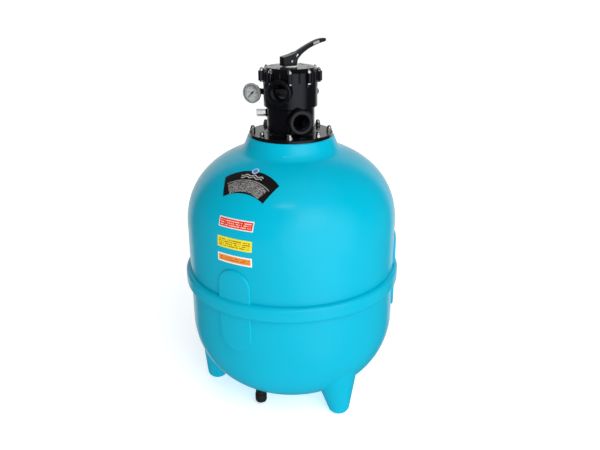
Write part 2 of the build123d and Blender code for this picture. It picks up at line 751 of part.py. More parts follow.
def lever_slab():
    """Side outline of the lever, drawn along its arm and pushed out across it."""
    outline = [
        Spline(*LEVER_TOP),
        ThreePointArc(LEVER_TOP[-1], LEVER_NOSE, LEVER_UNDER[0]),
        Spline(*LEVER_UNDER),
        Line(LEVER_UNDER[-1], (LEVER_CAM, LEVER_BASE_Z)),
        Line((LEVER_CAM, LEVER_BASE_Z), (LEVER_BACK, LEVER_BASE_Z)),
        Line((LEVER_BACK, LEVER_BASE_Z), LEVER_TOP[0]),
    ]
    return extrude(Plane.XZ * make_face(outline), amount=LEVER_BASE_WIDTH / 2, both=True)


def lever_plan(inset=0.0):
    """Tall block seen from above: a wide base and a narrower arm, drawn in by inset."""
    half = LEVER_BASE_WIDTH / 2 - inset
    arm = LEVER_ARM_WIDTH / 2 - inset
    back = LEVER_BACK - 10
    arm_start = LEVER_BASE_END + 4
    end = LEVER_NOSE[0] + 10
    outline = Polyline(
        (back, -half), (LEVER_BASE_END, -half), (arm_start, -arm), (end, -arm),
        (end, arm), (arm_start, arm), (LEVER_BASE_END, half), (back, half), (back, -half)
    )
    return extrude(Pos(0, 0, LEVER_BASE_Z - 10) * make_face(outline), amount=100)


def lever_pockets(outline, depth):
    """Shallow pockets in both flanks of the arm."""
    pockets = []
    for side in (-1, 1):
        flank = Plane.XZ.offset(side * LEVER_BASE_WIDTH)
        cut = extrude(flank * outline, amount=-side * LEVER_BASE_WIDTH)
        pockets.append(cut - lever_plan(depth))
    return pockets


def grip_outline():
    """Slanted slot along the arm."""
    return Pos(*GRIP_CENTRE) * Rot(0, 0, GRIP_SLANT) * SlotOverall(GRIP_LONG, GRIP_TALL)


def inlay_outline():
    """Slanted bright strip near the tip."""
    strip = RectangleRounded(INLAY_LONG, INLAY_TALL, 1.5)
    return Pos(*INLAY_CENTRE) * Rot(0, 0, INLAY_SLANT) * strip


def lever():
    body = lever_slab() & lever_plan()
    window = Polyline(*LEVER_WINDOW, LEVER_WINDOW[0])
    body -= extrude(Plane.XZ * make_face(window), amount=LEVER_BASE_WIDTH, both=True)
    slot_width = TONGUE_THICK + 2 * MOVING_GAP
    slot_low = LEVER_BASE_Z - 1
    slot_tall = TONGUE_TOP_Z + 4 - slot_low
    body -= Pos(0, 0, slot_low) * Box(LEVER_SLOT_LONG, slot_width, slot_tall, align=UPWARD)
    body -= Pos(0, 0, LEVER_PIN_Z) * Rot(90, 0, 0) * Cylinder(LEVER_PIN_R, LEVER_BASE_WIDTH + 4)
    body -= lever_pockets(grip_outline(), GRIP_DEEP)
    body -= lever_pockets(inlay_outline(), INLAY_DEEP)
    return Rot(0, 0, LEVER_TURN) * body


def lever_inlays():
    """Bright strips let into both flanks of the arm near its tip."""
    skin = lever_plan()
    strips = [pocket & skin for pocket in lever_pockets(inlay_outline(), INLAY_DEEP)]
    return [Rot(0, 0, LEVER_TURN) * strip for strip in strips]


def lever_pin():
    pin = Pos(0, 0, LEVER_PIN_Z) * Rot(90, 0, 0) * Cylinder(LEVER_PIN_R, LEVER_BASE_WIDTH - 1)
    return Rot(0, 0, LEVER_TURN) * pin


# ---------------------------------------------------------------- side fittings


def sight_glass():
    body = rod(SIGHT_R, SIGHT_SEAT_R + 1.5, SIGHT_END_R)
    end = body.edges().filter_by(GeomType.CIRCLE).sort_by(Axis.X)[-1]
    body = fillet(end, 1.5)
    body += rod(SIGHT_THREAD_R, LOWER_CHAMBER_R + 1, SIGHT_SEAT_R + 2)
    body -= rod(SIGHT_THREAD_R - 2.2, LOWER_CHAMBER_R, SIGHT_END_R - 2.5)
    return bearing(SIGHT_BEARING, 0, SIGHT_Z) * body


def sight_glass_seal():
    body = rod(SIGHT_R - 0.5, SIGHT_SEAT_R, SIGHT_SEAT_R + 1.5)
    body -= rod(SIGHT_THREAD_R, SIGHT_SEAT_R - 1, SIGHT_SEAT_R + 2)
    return bearing(SIGHT_BEARING, 0, SIGHT_Z) * body


def fitting_shoulder():
    """Distance from the axis to the face that presses on a fitting's seal."""
    return FITTING_BOSS_END + FITTING_SEAL_THICK


def fitting_seal(angle):
    body = rod(FITTING_BOSS_R - 1, FITTING_BOSS_END, fitting_shoulder())
    body -= rod(FITTING_THREAD_R, FITTING_BOSS_END - 1, fitting_shoulder() + 1)
    return bearing(angle, 0, FITTING_Z) * body


def fitting_seals():
    return [fitting_seal(PLUG_BEARING), fitting_seal(GAUGE_BEARING)]


def key_prism(across_flats, start, end):
    """Hexagonal prism along local X."""
    return Rot(0, 90, 0) * hexagon(across_flats, start, end)


def spare_port_plug():
    shoulder = fitting_shoulder()
    end = shoulder + PLUG_HEAD_THICK
    head = rod(FITTING_BOSS_R - 1, shoulder, end)
    head = fillet(head.edges().filter_by(GeomType.CIRCLE).sort_by(Axis.X)[-1], 1.5)
    body = head + rod(FITTING_THREAD_R, CHAMBER_R + 2, shoulder + 1)
    body -= key_prism(PLUG_KEY_ACROSS, end - PLUG_KEY_DEEP, end + 1)
    return bearing(PLUG_BEARING, 0, FITTING_Z) * body


def elbow_place():
    """Centre of the gauge's elbow, with local X pointing outward."""
    return bearing(GAUGE_BEARING, ELBOW_AXIS_R, FITTING_Z)


def gauge_place():
    """Centre of the gauge's elbow, with local X pointing out through the gauge's face."""
    return elbow_place() * Rot(0, 0, 90)


def gauge_elbow():
    shoulder = fitting_shoulder() - ELBOW_AXIS_R
    thread_end = CHAMBER_R + 2 - ELBOW_AXIS_R
    outlet_end = GAUGE_BACK - 5
    body = rod(ELBOW_R, shoulder, 0) + Sphere(ELBOW_R) + rod(FITTING_THREAD_R, thread_end, shoulder + 1)
    body += Rot(0, 0, 90) * rod(ELBOW_R, 0, outlet_end)
    body -= rod(ELBOW_BORE_R, thread_end - 1, 0)
    stem_socket = rod(GAUGE_STEM_R, GAUGE_BACK - GAUGE_STEM_LONG, GAUGE_BACK)
    body -= Rot(0, 0, 90) * (rod(ELBOW_BORE_R, -ELBOW_BORE_R, outlet_end) + stem_socket)
    return elbow_place() * body


def gauge_cone(shrink, start, end):
    """Tapered back of the gauge's case, along local X."""
    blank = Cone(GAUGE_BACK_R - shrink, GAUGE_R - shrink, end - start, align=UPWARD)
    return Pos(start, 0, 0) * Rot(0, 90, 0) * blank


def gauge_case():
    """Round case that widens from its stem to its rim, open at the front."""
    back = GAUGE_BACK
    face = GAUGE_BACK + GAUGE_DEPTH
    rim_start = face - GAUGE_RIM_LONG
    body = gauge_cone(0, back, rim_start) + rod(GAUGE_R, rim_start, face - GAUGE_WALL)
    body -= gauge_cone(GAUGE_WALL, back + GAUGE_WALL, rim_start)
    body -= rod(DIAL_R, rim_start, face)
    body += rod(GAUGE_STEM_R, back - GAUGE_STEM_LONG, back + 1)
    return gauge_place() * (body + key_prism(GAUGE_STEM_ACROSS, back - 5, back + 1))


def gauge_movement():
    """Sealed works behind the dial: a block that carries the spindle's bearing."""
    low = GAUGE_BACK + GAUGE_WALL
    high = dial_back()
    body = rod(MOVEMENT_R, low, high) - rod(SPINDLE_HOLE_R, high - 8, high + 1)
    return gauge_place() * body


def dial_back():
    return GAUGE_BACK + GAUGE_DEPTH - GAUGE_RIM_LONG


def gauge_dial():
    back = dial_back()
    body = rod(DIAL_R, back, back + DIAL_THICK) - rod(SPINDLE_HOLE_R, back - 1, back + DIAL_THICK + 1)
    return gauge_place() * body


def gauge_needle():
    """Tapered pointer on its spindle, at rest on the low end of the scale."""
    face = dial_back() + DIAL_THICK
    outline = make_face(Polyline(*NEEDLE_OUTLINE, NEEDLE_OUTLINE[0]))
    pointer = extrude(Pos(0, 0, face + 1.2) * outline, amount=0.8)
    pointer += post(NEEDLE_HUB_R, face + MOVING_GAP, face + 2.4) + post(SPINDLE_R, face - 7, face + 1)
    # Seen from the front, the tip points down and to the left.
    turned = Rot(0, 90, 0) * Rot(0, 0, -NEEDLE_REST_TURN) * pointer
    return gauge_place() * turned


def gauge_lens():
    front = GAUGE_BACK + GAUGE_DEPTH - 1
    return gauge_place() * rod(LENS_R, front - 2, front)


def gauge_bezel():
    face = GAUGE_BACK + GAUGE_DEPTH
    body = rod(GAUGE_RIM_R, face - 6, face)
    body = fillet(body.edges().filter_by(GeomType.CIRCLE).sort_by(Axis.X)[-1], 1.6)
    body -= rod(GAUGE_R, face - 7, face - GAUGE_WALL)
    body -= rod(LENS_R, face - 4, face - 1)
    body -= rod(DIAL_R - 1, face - 4, face + 1)
    return gauge_place() * body


# ---------------------------------------------------------------- inside the tank


def riser_pipe():
    return ring(RISER_R, RISER_IN_R, RISER_LOW_Z, RISER_HIGH_Z)


def riser_seal():
    return ring(RISER_SEAL_OUT_R, RISER_R, RISER_SEAL_Z, RISER_SEAL_Z + RISER_SEAL_TALL)


def diffuser():
    """Slotted basket under the valve, round the riser."""
    outer = DIFFUSER_R
    inner = DIFFUSER_R - DIFFUSER_THICK
    low = DIFFUSER_LOW_Z
    body = ring(outer, inner, low, SKIRT_LOW_Z) + ring(outer, RISER_R, low, low + DIFFUSER_THICK)
    body += ring(SKIRT_OUT_R, inner, SKIRT_LOW_Z - DIFFUSER_THICK, SKIRT_LOW_Z)
    slot = Pos(0, 0, low + 10) * Box(4 * DIFFUSER_THICK, DIFFUSER_SLOT_WIDE, DIFFUSER_SLOT_TALL, align=UPWARD)
    return body - at_bearings(slot, outer, 0, DIFFUSER_SLOTS)


def lateral_bearing(i):
    return 22.5 + 360 / LATERAL_COUNT * i


def lateral_hub():
    body = post(HUB_R, HUB_LOW_Z, HUB_TOP_Z) + post(HUB_SOCKET_R, HUB_TOP_Z - 1, HUB_SOCKET_TOP_Z)
    body = fillet(rim_edges(body, HUB_LOW_Z), 4)
    body -= post(RISER_R, RISER_LOW_Z, HUB_SOCKET_TOP_Z + 1)
    body -= post(RISER_IN_R - 2, HUB_LOW_Z + 4, RISER_LOW_Z + 1)
    slot_low = LATERAL_Z - LATERAL_EYE_R - 1
    slot_width = LATERAL_TONGUE + 2 * MOVING_GAP
    slot_tall = HUB_SOCKET_TOP_Z - slot_low
    slot = Pos(HUB_SLOT_START_R, 0, slot_low) * Box(
        HUB_R, slot_width, slot_tall, align=(Align.MIN, Align.CENTER, Align.MIN)
    )
    pin_hole = Pos(LATERAL_PIVOT_R, 0, LATERAL_Z) * Rot(90, 0, 0) * Cylinder(LATERAL_PIN_R, LATERAL_PIN_LONG)
    for i in range(LATERAL_COUNT):
        body -= bearing(lateral_bearing(i)) * (slot + pin_hole)
    return body


def lateral_pins():
    pin = Pos(LATERAL_PIVOT_R, 0, LATERAL_Z) * Rot(90, 0, 0) * Cylinder(LATERAL_PIN_R, LATERAL_PIN_LONG)
    return [bearing(lateral_bearing(i)) * pin for i in range(LATERAL_COUNT)]


def lateral(i):
    """Slotted collector arm on a hinge eye, closed at its tip."""
    arm = rod(LATERAL_R, LATERAL_START_R, LATERAL_END_R)
    arm -= rod(LATERAL_IN_R, LATERAL_START_R + LATERAL_END_THICK, LATERAL_END_R - LATERAL_END_THICK)
    slot = Box(LATERAL_SLOT_WIDE, LATERAL_SLOT_LONG, LATERAL_SLOT_DEEP)
    for k in range(LATERAL_SLOTS):
        along = LATERAL_START_R + LATERAL_FIRST_SLOT + LATERAL_SLOT_PITCH * k
        for side in (-1, 1):
            arm -= Pos(along, 0, side * LATERAL_R) * slot
    tongue = rod(LATERAL_EYE_R, LATERAL_PIVOT_R, LATERAL_START_R + 1) & Box(300, LATERAL_TONGUE, 60)
    eye = Pos(LATERAL_PIVOT_R, 0, 0) * Rot(90, 0, 0) * Cylinder(LATERAL_EYE_R, LATERAL_TONGUE)
    hole_r = LATERAL_PIN_R + LATERAL_PIN_PLAY
    hole = Pos(LATERAL_PIVOT_R, 0, 0) * Rot(90, 0, 0) * Cylinder(hole_r, LATERAL_TONGUE + 4)
    return bearing(lateral_bearing(i), 0, LATERAL_Z) * (arm + tongue + eye - hole)


# ---------------------------------------------------------------- drain


def drain_spigot():
    flange_low = DRAIN_LAND_Z + DRAIN_SEAL_THICK
    flange_top = flange_low + DRAIN_FLANGE_THICK
    body = post(DRAIN_TUBE_R, DRAIN_TUBE_LOW_Z, flange_top) + post(DRAIN_FLANGE_R, flange_low, flange_top)
    return drain_place() * (body - post(DRAIN_BORE_R, DRAIN_TUBE_LOW_Z - 1, flange_top + 1))


def drain_collar():
    """Ring on the spigot that fills the gap up to the tank's curved underside."""
    body = ring(DRAIN_COLLAR_R, DRAIN_TUBE_R, DRAIN_COLLAR_LOW_Z, DRAIN_LAND_Z)
    return drain_place() * body - spin(tank_outline())


def drain_seal():
    seal_top = DRAIN_LAND_Z + DRAIN_SEAL_THICK
    return drain_place() * ring(DRAIN_FLANGE_R - 1, DRAIN_TUBE_R, DRAIN_LAND_Z, seal_top)


def drain_strainer():
    """Slotted thimble on the drain's inner end."""
    low = DRAIN_LAND_Z + DRAIN_SEAL_THICK + DRAIN_FLANGE_THICK
    top = low + STRAINER_TALL
    body = ring(STRAINER_R, STRAINER_IN_R, low, top) + post(STRAINER_R, top - 2, top)
    cut = Pos(0, 0, low + 5) * Box(6, 2, STRAINER_TALL - 10, align=UPWARD)
    return drain_place() * (body - at_bearings(cut, STRAINER_IN_R + 1, 0, STRAINER_SLOTS))


def drain_cap():
    body = post(DRAIN_CAP_R, DRAIN_CAP_LOW_Z, DRAIN_CAP_HIGH_Z)
    body = fillet(rim_edges(body, DRAIN_CAP_LOW_Z), DRAIN_CAP_ROUND)
    body -= post(DRAIN_TUBE_R + SCREW_GAP, DRAIN_CAP_LOW_Z + DRAIN_CAP_END, DRAIN_CAP_HIGH_Z + 1)
    rib = post(DRAIN_RIB_R, DRAIN_CAP_LOW_Z + 5, DRAIN_CAP_HIGH_Z - 2)
    return drain_place() * (body + at_bearings(rib, DRAIN_CAP_R, 0, DRAIN_RIBS))


def drain_washer():
    low = DRAIN_CAP_LOW_Z + DRAIN_CAP_END + MOVING_GAP
    high = DRAIN_TUBE_LOW_Z - MOVING_GAP
    return drain_place() * post(DRAIN_TUBE_R - 0.5, low, high)


# ---------------------------------------------------------------- labels


def label_layer():
    """Thin skin over the tank from the middle up."""
    high = post(2 * TANK_R, BELT_HIGH_Z + 20, NECK_BASE_Z)
    return (spin(tank_outline(LABEL_THICK)) & high) - spin(tank_outline())


def label_prism(outline, z, tilt):
    """Block through the shell from an outline drawn flat, facing outward and up by tilt degrees."""
    place = bearing(LABEL_BEARING, LABEL_PLANE_R, z) * Rot(0, -tilt, 0)
    return place * extrude(Plane.YZ * outline, amount=260)


def name_label(skin):
    """Arched label: a wide fan with its narrow edge down."""
    outline = make_face([
        ThreePointArc((-83, 26), (0, 55), (83, 26)),
        Line((83, 26), (61, -33)),
        ThreePointArc((61, -33), (0, -18), (-61, -33)),
        Line((-61, -33), (-83, 26)),
    ])
    place_z = NAME_LABEL_Z - NAME_LABEL_BACK * tan(radians(NAME_LABEL_TILT))
    return skin & label_prism(outline, place_z, NAME_LABEL_TILT)


def sticker(skin, low, high):
    """Plain rectangular sticker on the upper wall."""
    return skin & label_prism(Pos(0, (low + high) / 2) * Rectangle(STICKER_WIDTH, high - low), 0, 0)


# ---------------------------------------------------------------- output


def parts():
    skin = label_layer()
    tank_upper, tank_lower = tank_halves()
    named = {
        "tank_upper": tank_upper,
        "tank_lower": tank_lower,
        "neck_inserts": neck_inserts(),
        "flange_seal": flange_seal(),
        "flange_studs": flange_studs(),
        "flange_washers": flange_washers(),
        "flange_cap_nuts": flange_cap_nuts(),
        "valve_body": valve_body(),
        "valve_lid": valve_lid(),
        "lid_seal": lid_seal(),
        "shaft_seal": shaft_seal(),
        "lid_bolts": lid_bolts(),
        "lid_washers": lid_washers(),
        "lid_nuts": lid_nuts(),
        "spider_gasket": spider_gasket(),
        "rotor": rotor(),
        "slip_washer": slip_washer(),
        "rotor_spring": rotor_spring(),
        "thrust_washer": thrust_washer(),
        "lever": lever(),
        "lever_inlays": lever_inlays(),
        "lever_pin": lever_pin(),
        "sight_glass": sight_glass(),
        "sight_glass_seal": sight_glass_seal(),
        "fitting_seals": fitting_seals(),
        "spare_port_plug": spare_port_plug(),
        "gauge_elbow": gauge_elbow(),
        "gauge_case": gauge_case(),
        "gauge_movement": gauge_movement(),
        "gauge_dial": gauge_dial(),
        "gauge_needle": gauge_needle(),
        "gauge_lens": gauge_lens(),
        "gauge_bezel": gauge_bezel(),
        "riser_pipe": riser_pipe(),
        "riser_seal": riser_seal(),
        "diffuser": diffuser(),
        "lateral_hub": lateral_hub(),
        "lateral_pins": lateral_pins(),
        "drain_spigot": drain_spigot(),
        "drain_collar": drain_collar(),
        "drain_seal": drain_seal(),
        "drain_strainer": drain_strainer(),
        "drain_cap": drain_cap(),
        "drain_washer": drain_washer(),
        "name_label": name_label(skin),
        "sticker_red": sticker(skin, 611, 636),
        "sticker_yellow": sticker(skin, 558, 587),
        "sticker_orange": sticker(skin, 517, 541),
    }
    for i in range(LATERAL_COUNT):
        named[f"lateral_{i + 1}"] = lateral(i)
    return named


os.makedirs("parts", exist_ok=True)
for name, shape in parts().items():
    solids = shape if isinstance(shape, list) else shape.solids()
    export_step(Pos(0, 0, -FLOOR_Z) * Compound(solids), f"parts/{name}.step")
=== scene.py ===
import json
import math

import bmesh
import bpy
from mathutils import Matrix, Vector
from mathutils.bvhtree import BVHTree


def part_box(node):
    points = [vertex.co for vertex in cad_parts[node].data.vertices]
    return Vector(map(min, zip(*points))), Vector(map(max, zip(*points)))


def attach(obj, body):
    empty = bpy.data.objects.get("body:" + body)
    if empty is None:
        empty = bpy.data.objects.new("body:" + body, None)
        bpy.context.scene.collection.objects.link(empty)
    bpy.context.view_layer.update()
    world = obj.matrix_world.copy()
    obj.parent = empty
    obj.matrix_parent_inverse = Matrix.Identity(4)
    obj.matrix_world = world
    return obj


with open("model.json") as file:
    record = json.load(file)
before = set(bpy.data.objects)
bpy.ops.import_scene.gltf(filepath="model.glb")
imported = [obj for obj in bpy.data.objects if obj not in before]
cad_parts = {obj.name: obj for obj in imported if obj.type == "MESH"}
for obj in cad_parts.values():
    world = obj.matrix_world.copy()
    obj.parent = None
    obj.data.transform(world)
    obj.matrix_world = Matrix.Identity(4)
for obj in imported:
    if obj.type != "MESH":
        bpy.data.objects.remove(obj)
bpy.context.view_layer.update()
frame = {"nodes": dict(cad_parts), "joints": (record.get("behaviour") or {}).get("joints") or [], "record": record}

# Sand filter tank: materials for the CAD pieces, and the fine pieces that the CAD leaves out.
# Metres. The front faces -Y, and a bearing is an angle about the axis, 0 at the front and +90
# at +X.

NODES = frame["nodes"]
JOINTS = {joint["name"]: joint for joint in frame["joints"]}
MOUNTS = {mount["name"]: mount for mount in frame["record"]["mounts"]}

UP = Vector((0, 0, 1))
MM = 1000  # millimetres in a metre

# Printing: all labels sit at one bearing on the tank's upper wall.
LABEL_BEARING = 330.3
LABEL_PLANE_R = 0.150
LABEL_Z = 0.699
LABEL_BACK = 0.085
LABEL_TILT = math.radians(48)
STICKER_HALF_WIDE = 0.0525
PRINT_LIFT = 0.00008

# Name label, in metres and radians about the centre of its arcs, which is below the label.
ARC_CENTRE_V = -0.094
ARC_MIDDLE_R = 0.1
TEXT_RADII = (0.0815, 0.114)
TEXT_HALF_TURN = 0.56
TEXT_ROWS_PER_METRE = 420
TEXT_DASHES_PER_METRE = 900
TEXT_ROW_PART = (0.28, 0.72)
TEXT_GAPS = 0.3
RULE_RADII = (0.1165, 0.1178)
RULE_HALF_TURN = 0.58
BRACKET_RADII = (0.1125, 0.1165)
BRACKET_TURNS = (0.44, 0.57)
WAVE_RADII = ((0.1262, 0.1288), (0.1330, 0.1356))
WAVES_PER_METRE = 380
WAVE_HEIGHT = 0.0024
WAVE_HALF_TURN = 0.25

# Stickers: the print starts these many border widths in from the edge.
STICKER_SIDE_GAP = 2.4
STICKER_END_GAP = 1.8
STICKER_DASHES_PER_METRE = 520
STICKER_ROW_PART = (0.25, 0.72)
STICKER_GAPS = 0.33

# Round mark of the name label.
EMBLEM_V = 0.0555
EMBLEM_RINGS = 6
EMBLEM_SIDES = 40
EMBLEM_RAY = 0.3

# 1 1/2 inch parallel pipe thread, 11 to the inch. Each profile point is a share of the pitch, and
# 1 where the ridge stands at its full height.
THREAD_PITCH = 0.002309
THREAD_HEIGHT = 0.00148
THREAD_LENGTH = 0.0225
THREAD_INSET = 0.0015
THREAD_SINK = 0.00005
THREAD_STEPS = 48
THREAD_PROFILE = ((0.0, 0), (0.30, 1), (0.42, 1), (0.72, 0))

# Gauge dial: degrees clockwise from the top, and radii.
SCALE_START = -135
SCALE_SWEEP = 270
SCALE_MARKS = 50
MARKS_PER_NUMBER = 10
DIAL_HALF_THICK = 0.0005
MARK_END_R = 0.0205
MAIN_MARK_R = 0.0172
MAIN_MARK_HALF = 0.00028
FINE_MARK_R = 0.0188
FINE_MARK_HALF = 0.00014
NUMBER_R = 0.0138
NUMBER_SIZE = 0.0048
ARC_RADII = (0.0209, 0.0222)
ARC_STEPS = 40

# Camera, fitted to the photograph: millimetres, and radians below level and about the vertical.
SENSOR = 36.0
LENS = 37.81
CAMERA_SHIFT = (-0.0165, -0.0215)
CAMERA_PLACE = (0, -1.7534, 1.2137)
CAMERA_DOWN = 0.3602
CAMERA_TURN = -0.0307
CLIP_END = 200.0

FLOOR_RADIUS = 60.0
FLOOR_SIDES = 96
FLOOR_GLOW = 0.58
PANEL_AIM_Z = 0.75

# Sockets of a Mix node that mixes colours.
MIX_SHARE, MIX_FIRST, MIX_SECOND, MIX_RESULT = 0, 6, 7, 2


def outward(bearing):
    """Level unit vector at a bearing in degrees."""
    turn = math.radians(bearing)
    return Vector((math.sin(turn), -math.cos(turn), 0))


LABEL_OUT = outward(LABEL_BEARING)
LABEL_ORIGIN = LABEL_OUT * LABEL_PLANE_R
LABEL_ORIGIN += Vector((0, 0, LABEL_Z - LABEL_BACK * math.tan(LABEL_TILT)))
LABEL_ACROSS = UP.cross(LABEL_OUT)
LABEL_UP = UP * math.cos(LABEL_TILT) - LABEL_OUT * math.sin(LABEL_TILT)


# ---------------------------------------------------------------- node helpers


def linear(red, green, blue):
    """Linear colour from display values of 0 to 255, by the sRGB curve."""
    def one(value):
        share = value / 255
        return share / 12.92 if share <= 0.04045 else ((share + 0.055) / 1.055) ** 2.4
    return (one(red), one(green), one(blue), 1.0)


def grey(level):
    return linear(level, level, level)


def darker(colour, share):
    """A colour times a share, with full alpha."""
    return tuple(share * part for part in colour[:3]) + (1,)


class Tree:
    """A material's node tree, with short calls to add to it."""

    def __init__(self, name):
        self.material = bpy.data.materials.new(name)
        self.material.use_nodes = True
        self.nodes = self.material.node_tree.nodes
        self.links = self.material.node_tree.links
        self.nodes.clear()
        self.output = self.nodes.new("ShaderNodeOutputMaterial")
        self.surface = self.nodes.new("ShaderNodeBsdfPrincipled")
        self.links.new(self.surface.outputs[0], self.output.inputs["Surface"])
        self.coords = self.nodes.new("ShaderNodeTexCoord").outputs["Object"]

    def put(self, socket, value):
        """Link a socket, or set it where the value is plain."""
        if isinstance(value, bpy.types.NodeSocket):
            self.links.new(value, socket)
        else:
            socket.default_value = value

    def set(self, **values):
        """Values of the Principled shader, with _ for spaces in socket names."""
        for name, value in values.items():
            self.put(self.surface.inputs[name.replace("_", " ")], value)
        return self

    def noise(self, scale, detail=3.0, rough=0.5, coords=None):
        node = self.nodes.new("ShaderNodeTexNoise")
        self.put(node.inputs["Vector"], coords or self.coords)
        node.inputs["Scale"].default_value = scale
        node.inputs["Detail"].default_value = detail
        node.inputs["Roughness"].default_value = rough
        return node.outputs["Fac"]

    def math(self, operation, first, second=0.0, third=0.0):
        node = self.nodes.new("ShaderNodeMath")
        node.operation = operation
        for socket, value in zip(node.inputs, (first, second, third)):
            self.put(socket, value)
        return node.outputs[0]

    def product(self, first, *others):
        for value in others:
            first = self.math("MULTIPLY", first, value)
        return first

    def absolute(self, value):
        return self.math("ABSOLUTE", value)

    def between(self, value, low, high):
        """1 where low < value < high, else 0."""
        above = self.math("GREATER_THAN", value, low)
        below = self.math("LESS_THAN", value, high)
        return self.product(above, below)

    def within(self, value, reach):
        """1 where -reach < value < reach, else 0."""
        return self.between(value, -reach, reach)

    def spread(self, value, low, high, start=0.3, end=0.7):
        """Map a value from start..end to low..high."""
        node = self.nodes.new("ShaderNodeMapRange")
        self.put(node.inputs["Value"], value)
        node.inputs["From Min"].default_value = start
        node.inputs["From Max"].default_value = end
        node.inputs["To Min"].default_value = low
        node.inputs["To Max"].default_value = high
        return node.outputs["Result"]

    def mix(self, share, first, second):
        """Colour that goes from first to second."""
        node = self.nodes.new("ShaderNodeMix")
        node.data_type = "RGBA"
        self.put(node.inputs[MIX_SHARE], share)
        self.put(node.inputs[MIX_FIRST], first)
        self.put(node.inputs[MIX_SECOND], second)
        return node.outputs[MIX_RESULT]

    def dot(self, direction, origin=(0, 0, 0)):
        """Distance along a direction from an origin."""
        moved = self.nodes.new("ShaderNodeVectorMath")
        moved.operation = "SUBTRACT"
        self.put(moved.inputs[0], self.coords)
        moved.inputs[1].default_value = origin
        node = self.nodes.new("ShaderNodeVectorMath")
        node.operation = "DOT_PRODUCT"
        self.put(node.inputs[0], moved.outputs[0])
        node.inputs[1].default_value = direction
        return node.outputs["Value"]

    def dashes(self, column, row, gaps):
        """1 in most cells of a grid, and 0 in about the share of them that gaps says."""
        cell = self.nodes.new("ShaderNodeCombineXYZ")
        self.put(cell.inputs[0], self.math("FLOOR", column))
        self.put(cell.inputs[1], self.math("FLOOR", row))
        node = self.nodes.new("ShaderNodeTexWhiteNoise")
        node.noise_dimensions = "2D"
        self.put(node.inputs["Vector"], cell.outputs[0])
        return self.math("GREATER_THAN", node.outputs["Value"], gaps)

    def bump(self, height, distance, strength=1.0):
        node = self.nodes.new("ShaderNodeBump")
        self.put(node.inputs["Height"], height)
        node.inputs["Distance"].default_value = distance
        node.inputs["Strength"].default_value = strength
        self.put(self.surface.inputs["Normal"], node.outputs[0])
        return self


# ---------------------------------------------------------------- materials


def moulded(name, colour, shade, roughness, grain, coat=0.0, grain_scale=700, depth=0.00002,
            ior=1.45, gloss_tint=(1, 1, 1, 1)):
    """Moulded plastic: slight drift of colour and gloss, and a fine skin."""
    tree = Tree(name)
    drift = tree.noise(9, 4)
    skin = tree.noise(grain_scale, 2)
    tree.set(Base_Color=tree.mix(tree.spread(drift, 0, 1), colour, shade))
    tree.set(Roughness=tree.spread(tree.noise(35, 4), roughness - grain, roughness + grain))
    tree.set(Coat_Weight=coat, Coat_Roughness=0.08, IOR=ior, Specular_Tint=gloss_tint)
    return tree.bump(skin, depth).material


def tank_plastic():
    """Glossy turquoise moulding with a faint orange peel."""
    tree = Tree("tank_plastic_look")
    drift = tree.spread(tree.noise(3.5, 5), 0, 1)
    tree.set(Base_Color=tree.mix(drift, linear(0, 182, 212), linear(0, 177, 207)))
    tree.set(Roughness=tree.spread(tree.noise(22, 5), 0.17, 0.23), IOR=1.35)
    peel = tree.noise(140, 3)
    return tree.bump(peel, 0.00006, 0.6).material


def metal(name, colour, roughness, scratch_scale=900, stretch=(1, 1, 0.05), grain=0.05,
          metallic=1.0):
    """Turned or brushed metal: fine marks that run one way."""
    tree = Tree(name)
    mapping = tree.nodes.new("ShaderNodeMapping")
    tree.put(mapping.inputs["Vector"], tree.coords)
    mapping.inputs["Scale"].default_value = stretch
    marks = tree.noise(scratch_scale, 4, 0.7, mapping.outputs[0])
    drift = tree.spread(tree.noise(60, 3), 0, 1)
    tree.set(Base_Color=tree.mix(drift, colour, darker(colour, 0.86)), Metallic=metallic)
    tree.set(Roughness=tree.spread(marks, roughness - grain, roughness + grain))
    return tree.bump(marks, 0.00001, 0.4).material


def rubber(name):
    """Dull black rubber with a fine grain."""
    tree = Tree(name)
    tree.set(Base_Color=tree.mix(tree.noise(80, 4), linear(22, 22, 23), linear(34, 34, 35)))
    tree.set(Roughness=tree.spread(tree.noise(300, 3), 0.5, 0.7), Specular_IOR_Level=0.35)
    return tree.bump(tree.noise(1800, 2), 0.00003).material


def clear(name, tint):
    """Clear moulded plastic with faint haze in its gloss."""
    tree = Tree(name)
    tree.set(Base_Color=tint, Transmission_Weight=1.0, IOR=1.45)
    tree.set(Roughness=tree.spread(tree.noise(120, 3), 0.0, 0.04))
    return tree.material


def printed_paper(tree, roughness, grain_scale):
    """Finish of a printed label: satin, under a thin coat."""
    tree.set(Roughness=tree.spread(tree.noise(90, 4), *roughness))
    tree.set(Coat_Weight=0.2, Coat_Roughness=0.2)
    return tree.bump(tree.noise(grain_scale, 2), 0.00001).material


